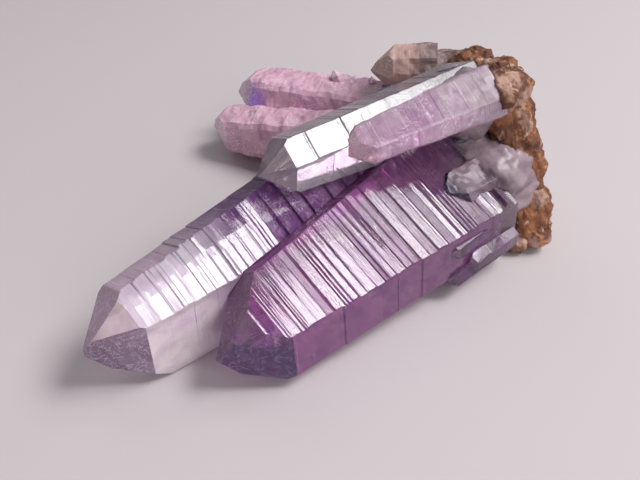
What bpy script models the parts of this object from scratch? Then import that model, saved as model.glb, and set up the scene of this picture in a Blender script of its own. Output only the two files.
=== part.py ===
"""Amethyst cluster: a spray of quartz points on a thin plate of rust-stained rock.

The specimen lies on its side. It rests on the lower corners of its three longest points and
on a small flat foot of the rock. Each crystal is a six-sided prism with a six-faced point,
cut from a block by the planes of its faces, and crystals that grew into each other are one
solid. Lengths are written in millimetres and turned into metres where the meshes are made.
"""
import math
from dataclasses import dataclass, replace

import bmesh
import bpy
from mathutils import Matrix, Vector, noise

MM = 0.001

# Where the middle of the whole cluster's footprint lies in the working layout, in mm
FOOTPRINT_CENTRE = (3.78, 2.72, 0.0)

# The angle between a quartz crystal's axis and the line square to a face of its point
POINT_FACE_ANGLE = math.radians(51.8)

# The gap between a crystal's root and the socket in the rock that holds it
SOCKET_GAP = 0.35

# Growth ledges: each stands one step above the one before it, a little narrower, and
# runs on to near the root, sunk into the crystal by its depth
LEDGE_STEP = 0.16
LEDGE_INSET = 0.13
LEDGE_DEPTH = 1.2
LEDGE_ROOT_MARGIN = 1.5
LEDGE_ROOT_STAGGER = 0.35

BLOCK_SIZE = 220.0

AMETHYST = (0.33, 0.16, 0.47)
PALE_AMETHYST = (0.50, 0.33, 0.55)
SMOKY_QUARTZ = (0.36, 0.28, 0.27)
RUSTY_ROCK = (0.40, 0.17, 0.06)


@dataclass(frozen=True)
class Crystal:
    """One quartz point; its faces are counted from the upper left one, seen from its root.

    shoulder is the point on the axis where the prism ends, azimuth and lean give the way
    the tip points, turn rolls it about its axis, flats are the distances from the axis to
    the prism's faces, narrowing is how much each face closes in per length towards the tip,
    and peaks are the heights above the shoulder at which the point's faces meet the axis.
    """

    shoulder: tuple
    azimuth: float
    lean: float
    turn: float
    length: float
    flats: tuple
    narrowing: tuple
    peaks: tuple
    ledges: tuple = ()

    def axis(self):
        azimuth = math.radians(self.azimuth)
        lean = math.radians(self.lean)
        flat = math.cos(lean)
        return Vector((flat * math.cos(azimuth), flat * math.sin(azimuth), math.sin(lean)))

    def outward(self, face):
        """The direction square to the axis in which one prism face looks."""
        axis = self.axis()
        across = Vector((0, 0, 1)).cross(axis).normalized()
        above = axis.cross(across)
        angle = math.radians(self.turn + 60.0 * (face - 1))
        return math.cos(angle) * above + math.sin(angle) * across

    def root(self):
        return Vector(self.shoulder) - self.length * self.axis()


GREAT_POINT = Crystal(
    shoulder=(-6.6, -25.05, 6.59), azimuth=224.1, lean=-3.9, turn=28.5, length=40.6,
    flats=(5.7, 3.55, 4.6, 6.4, 5.1, 5.7), narrowing=(0.11, 0.01, 0.09, 0.06, 0.03, 0.03),
    peaks=(5.5, 6.0, 5.15, 8.2, 7.0, 6.4),
    ledges=((1, (4.0, 9.5, 16.0, 21.0, 29.0)), (2, (7.0, 19.0)), (5, (11.0, 24.0))))

LEFT_POINT = Crystal(
    shoulder=(-20.85, -26.5, 6.99), azimuth=225.0, lean=-4.4, turn=38.0, length=48.0,
    flats=(5.35, 4.5, 3.0, 7.0, 4.7, 4.9), narrowing=(0.08, 0.02, 0.09, 0.09, 0.03, 0.03),
    peaks=(5.9, 5.3, 3.0, 6.4, 6.0, 6.0),
    ledges=((1, (5.0, 12.0, 20.0)), (0, (8.0, 22.0))))

UPPER_POINT = Crystal(
    shoulder=(-4.3, -9.1, 17.95), azimuth=215.9, lean=-1.2, turn=37.4, length=30.0,
    flats=(3.1, 3.1, 3.2, 3.4, 3.1, 3.7), narrowing=(0.05, 0.04, 0.02, 0.05, 0.03, 0.03),
    peaks=(3.6, 4.3, 4.3, 4.0, 4.0, 4.0),
    ledges=((1, (3.0, 8.0)),))

ROSY_POINT = Crystal(
    shoulder=(5.4, -7.0, 19.55), azimuth=201.5, lean=-13.0, turn=29.7, length=17.5,
    flats=(2.5, 1.7, 2.3, 2.5, 1.9, 2.3), narrowing=(0.05, 0.02, 0.04, 0.04, 0.03, 0.03),
    peaks=(3.5, 3.0, 2.5, 3.2, 3.2, 3.4))

DARK_POINT = Crystal(
    shoulder=(18.2, 1.6, 14.8), azimuth=222.0, lean=-7.0, turn=10.0, length=6.0,
    flats=(2.2, 1.5, 2.1, 2.4, 2.4, 2.3), narrowing=(0.04,) * 6,
    peaks=(2.0, 2.4, 2.2, 2.6, 2.6, 2.6))

BEAKED_POINT = Crystal(
    shoulder=(16.2, -5.7, 11.5), azimuth=216.0, lean=-6.0, turn=24.0, length=10.0,
    flats=(2.4, 1.7, 2.5, 2.8, 2.6, 2.4), narrowing=(0.04,) * 6,
    peaks=(2.2, 2.4, 2.0, 2.8, 2.8, 2.6))

UPPER_SPLINTER = Crystal(
    shoulder=(16.6, -12.2, 7.5), azimuth=226.0, lean=-3.0, turn=20.0, length=9.0,
    flats=(1.1, 0.9, 1.0, 1.2, 1.2, 1.1), narrowing=(0.03,) * 6,
    peaks=(1.2, 1.4, 1.3, 1.4, 1.4, 1.4))

MIDDLE_SPLINTER = Crystal(
    shoulder=(19.4, -10.6, 4.6), azimuth=222.0, lean=-4.0, turn=35.0, length=8.0,
    flats=(1.2, 1.0, 1.1, 1.3, 1.3, 1.2), narrowing=(0.03,) * 6,
    peaks=(1.3, 1.5, 1.4, 1.5, 1.5, 1.5))

LOWER_SPLINTER = Crystal(
    shoulder=(16.6, -12.0, 3.2), azimuth=222.0, lean=-6.0, turn=15.0, length=11.0,
    flats=(1.5, 1.2, 1.2, 1.6, 1.5, 1.5), narrowing=(0.03,) * 6,
    peaks=(1.8, 2.0, 1.9, 2.0, 2.0, 2.0))

REAR_POINT = Crystal(
    shoulder=(-10.1, 30.6, 8.4), azimuth=153.0, lean=-2.0, turn=15.0, length=34.5,
    flats=(4.4, 4.2, 4.4, 4.4, 4.2, 4.3), narrowing=(0.03,) * 6,
    peaks=(4.2, 5.6, 4.6, 5.0, 5.0, 4.6),
    ledges=((1, (6.0, 13.0)),))

LOW_POINT = Crystal(
    shoulder=(-13.0, 24.2, 4.38), azimuth=154.0, lean=-7.0, turn=25.0, length=24.0,
    flats=(4.3, 4.1, 3.6, 3.6, 3.9, 4.2), narrowing=(0.03,) * 6,
    peaks=(6.8, 7.4, 5.4, 5.4, 6.5, 7.0),
    ledges=((1, (6.0, 12.0)),))

BROWN_POINT = Crystal(
    shoulder=(10.7, 19.4, 18.0), azimuth=174.0, lean=-3.0, turn=6.0, length=6.8,
    flats=(3.0, 3.0, 2.9, 3.0, 3.0, 3.0), narrowing=(0.02,) * 6,
    peaks=(2.6, 3.6, 3.2, 3.6, 3.8, 3.0))

BROWN_ROOT = Crystal(
    shoulder=(13.6, 19.1, 17.9), azimuth=174.0, lean=-3.0, turn=24.0, length=9.0,
    flats=(2.7, 2.3, 2.6, 2.8, 2.7, 2.6), narrowing=(-0.01,) * 6,
    peaks=(2.0, 2.4, 2.2, 2.4, 2.4, 2.2))


def speck(root, azimuth, lean, width, length):
    """One tiny clear quartz point that stands on a larger crystal."""
    tip = Crystal(
        shoulder=(0.0, 0.0, 0.0), azimuth=azimuth, lean=lean, turn=12.0, length=length,
        flats=(0.5 * width,) * 6, narrowing=(0.02,) * 6, peaks=(0.6 * width,) * 6)
    shoulder = Vector(root) + length * tip.axis()
    return replace(tip, shoulder=tuple(shoulder))


YOUNG_POINTS = {
    "young_point_low": speck(root=(11.0, 9.5, 8.0), azimuth=178, lean=-8, width=2.6, length=4.8),
    "young_point": speck(root=(11.5, 10.0, 12.5), azimuth=185, lean=12, width=3.2, length=5.5),
    "young_point_high": speck(root=(13.5, 10.5, 15.0), azimuth=170, lean=38, width=2.8, length=4.5),
    "young_point_near": speck(root=(10.5, 8.0, 15.5), azimuth=200, lean=30, width=2.2, length=4.0),
}
REAR_SPECKS = {
    "speck_on_ridge": speck(root=(3.3, 23.8, 12.6), azimuth=150, lean=65, width=1.7, length=2.2),
    "speck_by_ridge": speck(root=(4.9, 22.9, 12.6), azimuth=60, lean=50, width=1.3, length=1.8),
    "speck_behind": speck(root=(8.4, 21.2, 12.6), azimuth=110, lean=70, width=1.6, length=2.0),
    "speck_near_rock": speck(root=(10.4, 20.0, 12.2), azimuth=70, lean=55, width=1.3, length=1.8),
}

CLUSTER_POINTS = {
    "great_point": GREAT_POINT,
    "left_point": LEFT_POINT,
    "upper_point": UPPER_POINT,
    "rosy_point": ROSY_POINT,
    "dark_point": DARK_POINT,
    "beaked_point": BEAKED_POINT,
    "upper_splinter": UPPER_SPLINTER,
    "middle_splinter": MIDDLE_SPLINTER,
    "lower_splinter": LOWER_SPLINTER,
} | YOUNG_POINTS
REAR_POINTS = {"rear_point": REAR_POINT, "low_point": LOW_POINT} | REAR_SPECKS
BROWN_POINTS = {"brown_point": BROWN_POINT, "brown_root": BROWN_ROOT}
ALL_POINTS = CLUSTER_POINTS | REAR_POINTS | BROWN_POINTS


def cut_away(body, point, normal):
    """Cuts off what lies beyond a plane and closes the cut with one flat face."""
    everything = body.verts[:] + body.edges[:] + body.faces[:]
    cut = bmesh.ops.bisect_plane(
        body, geom=everything, dist=1e-7, plane_co=point, plane_no=normal, clear_outer=True)
    rim = [part for part in cut["geom_cut"] if isinstance(part, bmesh.types.BMEdge)]
    if rim:
        bmesh.ops.contextual_create(body, geom=rim)


def face_slope(crystal, face):
    """The direction square to one prism face, which leans in towards the tip."""
    return (crystal.outward(face) + crystal.narrowing[face] * crystal.axis()).normalized()


def tip_slope(crystal, face):
    """The direction square to one face of the crystal's point."""
    along = math.cos(POINT_FACE_ANGLE) * crystal.axis()
    return along + math.sin(POINT_FACE_ANGLE) * crystal.outward(face)


def crystal_body(crystal, grow=0.0):
    """Cuts one crystal from a block. Grown all round, it is the cutter for its socket."""
    body = bmesh.new()
    shoulder = Vector(crystal.shoulder)
    axis = crystal.axis()
    bmesh.ops.create_cube(body, size=BLOCK_SIZE * MM, matrix=Matrix.Translation(shoulder * MM))
    for face in range(6):
        on_face = shoulder + (crystal.flats[face] + grow) * crystal.outward(face)
        cut_away(body, on_face * MM, face_slope(crystal, face))
        peak = crystal.peaks[face] + grow / math.cos(POINT_FACE_ANGLE)
        cut_away(body, (shoulder + peak * axis) * MM, tip_slope(crystal, face))
    cut_away(body, (crystal.root() - grow * axis) * MM, -axis)
    bmesh.ops.recalc_face_normals(body, faces=body.faces)
    return body


def ledge_body(crystal, face, setback, rank):
    """Cuts a growth ledge: a thin plate on one face, whose front is a strip of tip face."""
    body = bmesh.new()
    shoulder = Vector(crystal.shoulder)
    axis = crystal.axis()
    bmesh.ops.create_cube(body, size=BLOCK_SIZE * MM, matrix=Matrix.Translation(shoulder * MM))
    for side in (face - 1, face + 1):
        side %= 6
        inset = crystal.flats[side] - LEDGE_INSET * rank
        cut_away(body, (shoulder + inset * crystal.outward(side)) * MM, face_slope(crystal, side))
    top = crystal.flats[face] + LEDGE_STEP * rank
    cut_away(body, (shoulder + top * crystal.outward(face)) * MM, face_slope(crystal, face))
    inner = crystal.flats[face] - LEDGE_DEPTH - LEDGE_STEP * rank
    cut_away(body, (shoulder + inner * crystal.outward(face)) * MM, -face_slope(crystal, face))
    front = shoulder + (crystal.peaks[face] - setback) * axis
    cut_away(body, front * MM, tip_slope(crystal, face))
    back = crystal.root() + (LEDGE_ROOT_MARGIN + LEDGE_ROOT_STAGGER * rank) * axis
    cut_away(body, back * MM, -axis)
    bmesh.ops.recalc_face_normals(body, faces=body.faces)
    return body


@dataclass(frozen=True)
class Lump:
    """A rough rounded body: half_sizes runs along its axis, across it and upwards."""

    centre: tuple
    half_sizes: tuple
    azimuth: float
    lean: float
    roll: float
    cuts: int
    squareness: float
    relief: tuple

    def placing(self):
        """Turns the lump's own axes, along, across and up, into the layout's."""
        turn = Matrix.Rotation(math.radians(self.azimuth), 4, "Z")
        tilt = Matrix.Rotation(math.radians(-self.lean), 4, "Y")
        roll = Matrix.Rotation(math.radians(self.roll), 4, "X")
        return Matrix.Translation(self.centre) @ turn @ tilt @ roll


ROCK = Lump(
    centre=(25.7, 8.9, 10.4), half_sizes=(3.0, 10.8, 13.4), azimuth=12.0, lean=14.0, roll=-13.0,
    cuts=14, squareness=4.5, relief=((0.16, 0.9, 7.0), (0.42, 0.8, 11.0), (1.0, 0.4, 23.0)))

LOWER_ROOT = Lump(
    centre=(22.0, 3.4, 10.4), half_sizes=(4.9, 7.4, 6.0), azimuth=42.0, lean=4.0, roll=0.0,
    cuts=6, squareness=2.4, relief=((0.25, 0.9, 5.0), (0.7, 0.45, 17.0)))
UPPER_ROOT = Lump(
    centre=(18.8, 4.2, 19.4), half_sizes=(4.4, 5.4, 4.2), azimuth=34.0, lean=6.0, roll=0.0,
    cuts=5, squareness=2.4, relief=((0.3, 0.7, 9.0), (0.8, 0.35, 13.0)))


LEFT_ROOT = Lump(
    centre=(16.6, 8.4, 10.8), half_sizes=(8.2, 6.4, 6.8), azimuth=40.0, lean=5.0, roll=0.0,
    cuts=6, squareness=2.4, relief=((0.25, 0.8, 13.0), (0.7, 0.4, 19.0)))

REAR_ROOT = Lump(
    centre=(12.4, 16.6, 8.6), half_sizes=(6.0, 5.6, 6.4), azimuth=-25.0, lean=0.0, roll=0.0,
    cuts=6, squareness=2.4, relief=((0.25, 0.8, 29.0), (0.7, 0.4, 31.0)))

ROOT_LUMPS = {"lower_root": LOWER_ROOT, "upper_root": UPPER_ROOT, "left_root": LEFT_ROOT}
REAR_LUMPS = {"rear_root": REAR_ROOT}


def nodule(centre, radius, seed):
    """A small rounded knob on the rock's rim."""
    return Lump(
        centre=centre, half_sizes=(radius, radius * 1.1, radius * 0.9), azimuth=31.0, lean=0.0,
        roll=0.0, cuts=2, squareness=2.2, relief=((0.8, 0.25, seed),))


NODULES = {
    "foot_nodule": nodule(centre=(30.2, -1.8, 2.4), radius=1.9, seed=1.0),
    "low_nodule": nodule(centre=(27.2, -2.4, 1.6), radius=1.6, seed=5.0),
    "side_nodule": nodule(centre=(29.6, -0.6, 8.0), radius=1.7, seed=9.0),
    "shoulder_nodule": nodule(centre=(23.4, 0.6, 23.4), radius=2.6, seed=12.0),
    "top_nodule": nodule(centre=(22.8, 6.0, 23.0), radius=1.9, seed=17.0),
    "far_nodule": nodule(centre=(21.9, 13.6, 21.4), radius=1.8, seed=21.0),
}


def lump_body(lump, grow=0.0):
    """Shapes a block into a rounded lump and roughens it with noise of several sizes."""
    body = bmesh.new()
    bmesh.ops.create_cube(body, size=2.0)
    bmesh.ops.subdivide_edges(body, edges=body.edges[:], cuts=lump.cuts, use_grid_fill=True)
    power = lump.squareness
    placing = lump.placing()
    for vert in body.verts:
        reach = sum(abs(value) ** power for value in vert.co) ** (1.0 / power)
        sizes = Vector(lump.half_sizes) + Vector((grow, grow, grow))
        vert.co = placing @ Vector([a * b / reach for a, b in zip(vert.co, sizes)])
    body.normal_update()
    moves = []
    for vert in body.verts:
        rise = 0.0
        for fineness, height, seed in lump.relief:
            rise += height * noise.noise(vert.co * fineness + Vector((seed, seed, seed)))
        moves.append(vert.normal * rise)
    for vert, move in zip(body.verts, moves):
        vert.co = (vert.co + move) * MM
    bmesh.ops.triangulate(body, faces=body.faces[:])
    return body


def add_object(body, name):
    """Makes an object in the scene from a bmesh, moved over the middle of the footprint."""
    mesh = bpy.data.meshes.new(name)
    bmesh.ops.translate(body, verts=body.verts, vec=-Vector(FOOTPRINT_CENTRE) * MM)
    body.to_mesh(mesh)
    body.free()
    thing = bpy.data.objects.new(name, mesh)
    bpy.context.scene.collection.objects.link(thing)
    return thing


def add_cutters(bodies, name):
    """Gathers bodies in a collection that a Boolean reads, and that isn't drawn."""
    group = bpy.data.collections.new(name)
    bpy.context.scene.collection.children.link(group)
    for label, body in bodies.items():
        thing = add_object(body, f"{name}_{label}")
        thing.hide_render = True
        thing.display_type = "WIRE"
        bpy.context.scene.collection.objects.unlink(thing)
        group.objects.link(thing)
    return group


def combine(thing, group, operation):
    """Joins a group of bodies to an object, or cuts them from it."""
    boolean = thing.modifiers.new(group.name, "BOOLEAN")
    boolean.operation = operation
    boolean.operand_type = "COLLECTION"
    boolean.collection = group
    boolean.solver = "EXACT"


def ledge_bodies(points):
    """The growth ledges of a group of crystals, by name."""
    ledges = {}
    for label, crystal in points.items():
        for face, setbacks in crystal.ledges:
            for index, setback in enumerate(setbacks):
                name = f"{label}_ledge_{face}_{index}"
                ledges[name] = ledge_body(crystal, face, setback, index + 1)
    return ledges


def grown_bodies(points, lumps, grow=0.0):
    """The crystals and root lumps of one node, each as its own body."""
    bodies = {label: crystal_body(crystal, grow) for label, crystal in points.items()}
    bodies |= {label: lump_body(lump, grow) for label, lump in lumps.items()}
    return bodies


def grown_node(name, points, lumps, neighbours):
    """One solid of crystals that grew into each other, cut back where it meets neighbours."""
    bodies = grown_bodies(points, lumps) | ledge_bodies(points)
    first = next(iter(bodies))
    node = add_object(bodies.pop(first), name)
    combine(node, add_cutters(bodies, f"{name}_growth"), "UNION")
    if neighbours:
        combine(node, add_cutters(neighbours, f"{name}_neighbours"), "DIFFERENCE")
    return node


def rock_body(lump):
    """A lump of rock, cut off flat where the specimen stands on it."""
    body = lump_body(lump)
    cut_away(body, Vector((0, 0, 0)), Vector((0, 0, -1)))
    return body


def matrix_node(name, neighbours):
    """The rock plate with its nodules, and with a socket round the root of each crystal."""
    rock = add_object(rock_body(ROCK), name)
    nodules = {label: rock_body(lump) for label, lump in NODULES.items()}
    combine(rock, add_cutters(nodules, "nodules"), "UNION")
    combine(rock, add_cutters(neighbours, "sockets"), "DIFFERENCE")
    return rock


def dress(thing, colour, roughness):
    """Gives a node its own plain material."""
    finish = bpy.data.materials.new(thing.name)
    finish.use_nodes = True
    shader = finish.node_tree.nodes["Principled BSDF"]
    shader.inputs["Base Color"].default_value = (*colour, 1.0)
    shader.inputs["Roughness"].default_value = roughness
    shader.inputs["Metallic"].default_value = 0.0
    thing.data.materials.append(finish)


def clear_scene():
    """Removes whatever the file opened with."""
    for thing in list(bpy.data.objects):
        bpy.data.objects.remove(thing, do_unlink=True)


def main():
    """Builds the four nodes of the specimen."""
    clear_scene()
    cluster_room = grown_bodies(CLUSTER_POINTS, ROOT_LUMPS, SOCKET_GAP)
    rear_room = grown_bodies(REAR_POINTS, REAR_LUMPS, SOCKET_GAP)
    socket_room = grown_bodies(ALL_POINTS, ROOT_LUMPS | REAR_LUMPS, SOCKET_GAP)
    cluster = grown_node("crystal_cluster", CLUSTER_POINTS, ROOT_LUMPS, {})
    rear = grown_node("rear_crystal", REAR_POINTS, REAR_LUMPS, cluster_room)
    brown = grown_node("brown_crystal", BROWN_POINTS, {}, rear_room)
    rock = matrix_node("matrix", socket_room)
    dress(cluster, AMETHYST, 0.05)
    dress(rear, PALE_AMETHYST, 0.15)
    dress(brown, SMOKY_QUARTZ, 0.3)
    dress(rock, RUSTY_ROCK, 0.9)


main()
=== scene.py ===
"""Looks of the amethyst cluster: clear striated points, their milky roots and a rusty rock.

Every piece is modelled in the layout of the specimen in millimetres and is moved over the
middle of its footprint, in metres, when its mesh is made.
"""

import bisect
import logging
import math
import random
from dataclasses import dataclass, field, replace
from enum import Enum, IntEnum

import bmesh
import bpy
from mathutils import Matrix, Vector, noise

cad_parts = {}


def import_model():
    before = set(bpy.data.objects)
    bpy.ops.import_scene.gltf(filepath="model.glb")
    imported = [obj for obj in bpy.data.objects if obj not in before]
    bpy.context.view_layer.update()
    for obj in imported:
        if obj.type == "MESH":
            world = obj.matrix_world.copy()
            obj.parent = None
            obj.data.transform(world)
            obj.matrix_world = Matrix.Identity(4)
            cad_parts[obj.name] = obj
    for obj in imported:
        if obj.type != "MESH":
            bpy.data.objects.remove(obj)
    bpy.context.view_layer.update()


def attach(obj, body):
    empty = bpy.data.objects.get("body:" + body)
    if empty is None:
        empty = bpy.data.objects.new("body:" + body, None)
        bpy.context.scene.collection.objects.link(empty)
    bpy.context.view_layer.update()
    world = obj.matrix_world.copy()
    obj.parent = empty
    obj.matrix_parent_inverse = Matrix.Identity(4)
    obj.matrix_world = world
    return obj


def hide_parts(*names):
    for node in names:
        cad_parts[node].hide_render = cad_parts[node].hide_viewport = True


LOG = logging.getLogger("amethyst_cluster")

# Metres in a millimetre, and the middle of the footprint in the layout, in mm.
MM = 0.001
FOOTPRINT_CENTRE = (3.78, 2.72, 0.0)

# Facts of quartz: how steeply a tip's faces meet the axis, and its refraction.
POINT_FACE_ANGLE = math.radians(51.8)
QUARTZ_IOR = 1.544

# Sizes that all crystals share, in mm: a ledge's height, how far the lines are drawn past
# the tip and the root, the least distance of two rings, and of two vertices.
LEDGE_STEP = 0.16
PAST_TIP = 1.0
PAST_ROOT = 10.0
RING_SPACING = 0.012
WELD = 1e-5

# The widest tip ridge that is worn with a single flat, in mm.
FINE_RIDGE = 0.1

# Air between a piece and the crystals that it is cut back from, in mm.
CLEARANCE = 0.08
SOCKET_CLEARANCE = 0.1

# How deep the finest lines and the rock's finest crust look, in mm.
LINE_DEPTH = 0.05
CRUST_DEPTH = 0.25

# How far apart the seeds of two crystals' faces lie.
SEED_STEP = 97

# The body of the frame that all pieces ride on, and the kinds of socket of a node group.
BODY = "root"
SOCKET_FLOAT = "NodeSocketFloat"
SOCKET_COLOUR = "NodeSocketColor"
SOCKET_VECTOR = "NodeSocketVector"

# A Mix node's colour sockets, by number, because other sockets of it have the same names.
MIX_SHARE, MIX_FIRST, MIX_SECOND, MIX_RESULT = 0, 6, 7, 2

Colour = tuple[float, float, float]
Place = tuple[float, float, float]
Relief = tuple[tuple[float, float, float], ...]
Socket = bpy.types.NodeSocket


class Face(IntEnum):
    """The faces round a point, from the upper left one, seen from its root."""

    UPPER_LEFT = 0
    TOP = 1
    RIGHT = 2
    LOWER_RIGHT = 3
    BOTTOM = 4
    LOWER_LEFT = 5


class Carving(Enum):
    """What other bodies do to a piece."""

    JOIN = "UNION"
    CUT = "DIFFERENCE"


# The numbers of the kinds of surface: prism faces from 0, then the tip's, lumps and knobs.
TIP_OFFSET = len(Face)
LUMP_SURFACE = 2 * len(Face)
KNOB_SURFACE = LUMP_SURFACE + 1
SURFACE_COUNT = KNOB_SURFACE + 1


@dataclass(frozen=True)
class Striation:
    """Lines that run across a prism face, where growth switched between slopes.

    Attributes:
        narrowest: Width of the narrowest strip, in mm.
        widest: Width of the widest strip, in mm.
        tilt: Spread of the strips' slopes, in degrees.
        relief: Spread of the strips' heights, in mm.
        columns: How many parts each strip has across the face.
        riser: Width of the widest step between two strips, in mm.
        odd_share: The share of strips that slope another way.
        odd_tilt: Slope of those strips, in degrees.
        bias: Mean slope of all strips, in degrees.
        reach: Distance from the shoulder at which these lines stop, in mm.
        drops: How far each column's edge lies below the face, in mm.
    """

    narrowest: float
    widest: float
    tilt: float
    relief: float
    columns: int = 1
    riser: float = 0.12
    odd_share: float = 0.0
    odd_tilt: float = 0.0
    bias: float = 0.0
    reach: float = 1000.0
    drops: tuple[float, ...] = ()

    def strips(self, start: float, end: float, chance: random.Random
               ) -> list[tuple[float, list[float]]]:
        """Draws the strips between two distances from the shoulder.

        Args:
            start: Where the first strip begins, in mm.
            end: Where the last strip ends, in mm.
            chance: The source of the strips' widths and slopes.

        Returns:
            Distances from the shoulder, each with a height for every column's edge.
        """
        drawn = []
        place = start
        while place < min(end, self.reach):
            width = self.narrowest + (self.widest - self.narrowest) * chance.random() ** 2
            riser = min(chance.uniform(0.2, 1.0) * self.riser, 0.55 * width)
            level = chance.gauss(0.0, self.relief)
            tilt = self.bias + chance.gauss(0.0, self.tilt)
            if chance.random() < self.odd_share:
                tilt += chance.choice((-1.0, 1.0)) * self.odd_tilt
            raggedness = chance.uniform(0.5, 1.5)
            near, far = [], []
            for column in range(self.columns + 1):
                own_tilt = tilt + chance.gauss(0.0, 0.35 * self.tilt)
                half_rise = 0.5 * math.tan(math.radians(own_tilt)) * (width - riser)
                drop = raggedness * self.drops[column] if self.drops else 0.0
                near.append(level - half_rise - drop)
                far.append(level + half_rise - drop)
            drawn.append((place, near))
            drawn.append((place + width - riser, far))
            place += width
        return drawn


SMOOTH = Striation(narrowest=4.0, widest=9.0, tilt=0.25, relief=0.008)
WORN = Striation(narrowest=0.6, widest=1.5, tilt=0.8, relief=0.012, columns=6)
ROUGH_GROWTH = Striation(
    narrowest=0.5, widest=1.5, tilt=4.0, relief=0.05, columns=6, riser=0.4)
ROUGH_ROOT = Striation(narrowest=0.6, widest=2.2, tilt=9.0, relief=0.16, riser=0.5)
WORN_ALL_ROUND = {face: (WORN,) for face in Face}
ROUGH_ALL_ROUND = {face: (ROUGH_GROWTH,) for face in Face}


@dataclass(frozen=True)
class PointShape:
    """One quartz point: a six-sided prism with a six-faced tip.

    Attributes:
        shoulder: The point on the axis where the prism ends, in mm.
        azimuth: The way the tip points, in degrees.
        lean: How far the tip points up, in degrees.
        turn: The roll about the axis, in degrees.
        length: The prism's length, in mm.
        flats: Distances from the axis to the prism's faces, in mm.
        peaks: Heights above the shoulder at which the tip's faces meet the axis, in mm.
        narrowing: How much each face closes in towards the tip, per length.
        ledges: Setbacks of the growth ledges on each face that has any, in mm.
        striations: The runs of lines on each face that has any, from the tip.
        chamfer: Width of the worn edge between two prism faces, in mm.
        worn_tip: Width of the worn edge between two faces of the tip, in mm.
        wear: Height of the broad unevenness of the prism's faces, in mm.
        seed: Picks the crystal's own run of lines.
    """

    shoulder: Place
    azimuth: float
    lean: float
    turn: float
    length: float
    flats: tuple[float, ...]
    peaks: tuple[float, ...]
    narrowing: tuple[float, ...] = (0.03,) * len(Face)
    ledges: dict[Face, tuple[float, ...]] = field(default_factory=dict)
    striations: dict[Face, tuple[Striation, ...]] = field(default_factory=dict)
    chamfer: float = 0.07
    worn_tip: float = 0.05
    wear: float = 0.0
    seed: int = 1

    def axis(self) -> Vector:
        """The way the tip points."""
        flat = math.cos(math.radians(self.lean))
        azimuth = math.radians(self.azimuth)
        rise = math.sin(math.radians(self.lean))
        return Vector((flat * math.cos(azimuth), flat * math.sin(azimuth), rise))

    def across(self) -> Vector:
        """The level direction square to the axis."""
        return Vector((0.0, 0.0, 1.0)).cross(self.axis()).normalized()

    def above(self) -> Vector:
        """The upward direction square to the axis."""
        return self.axis().cross(self.across())

    def angle(self, face: int) -> float:
        """The roll of one face about the axis, in radians."""
        return math.radians(self.turn + 360.0 / len(Face) * (face - 1))

    def outward(self, face: int) -> Vector:
        """The direction square to the axis in which one prism face looks."""
        angle = self.angle(face)
        return math.cos(angle) * self.above() + math.sin(angle) * self.across()

    def tip_slope(self, face: int) -> Vector:
        """The direction square to one face of the tip."""
        along = math.cos(POINT_FACE_ANGLE) * self.axis()
        return along + math.sin(POINT_FACE_ANGLE) * self.outward(face)

    def placing(self) -> Matrix:
        """Turns the crystal's own axes, along, across and above, into the layout's."""
        turned = Matrix((self.axis(), self.across(), self.above())).transposed().to_4x4()
        return Matrix.Translation(self.shoulder) @ turned

    def ledge_front(self, face: Face, setback: float) -> float:
        """The distance from the shoulder at which a growth ledge rises, in mm."""
        return setback - self.peaks[face] + math.tan(POINT_FACE_ANGLE) * self.flats[face]


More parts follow.
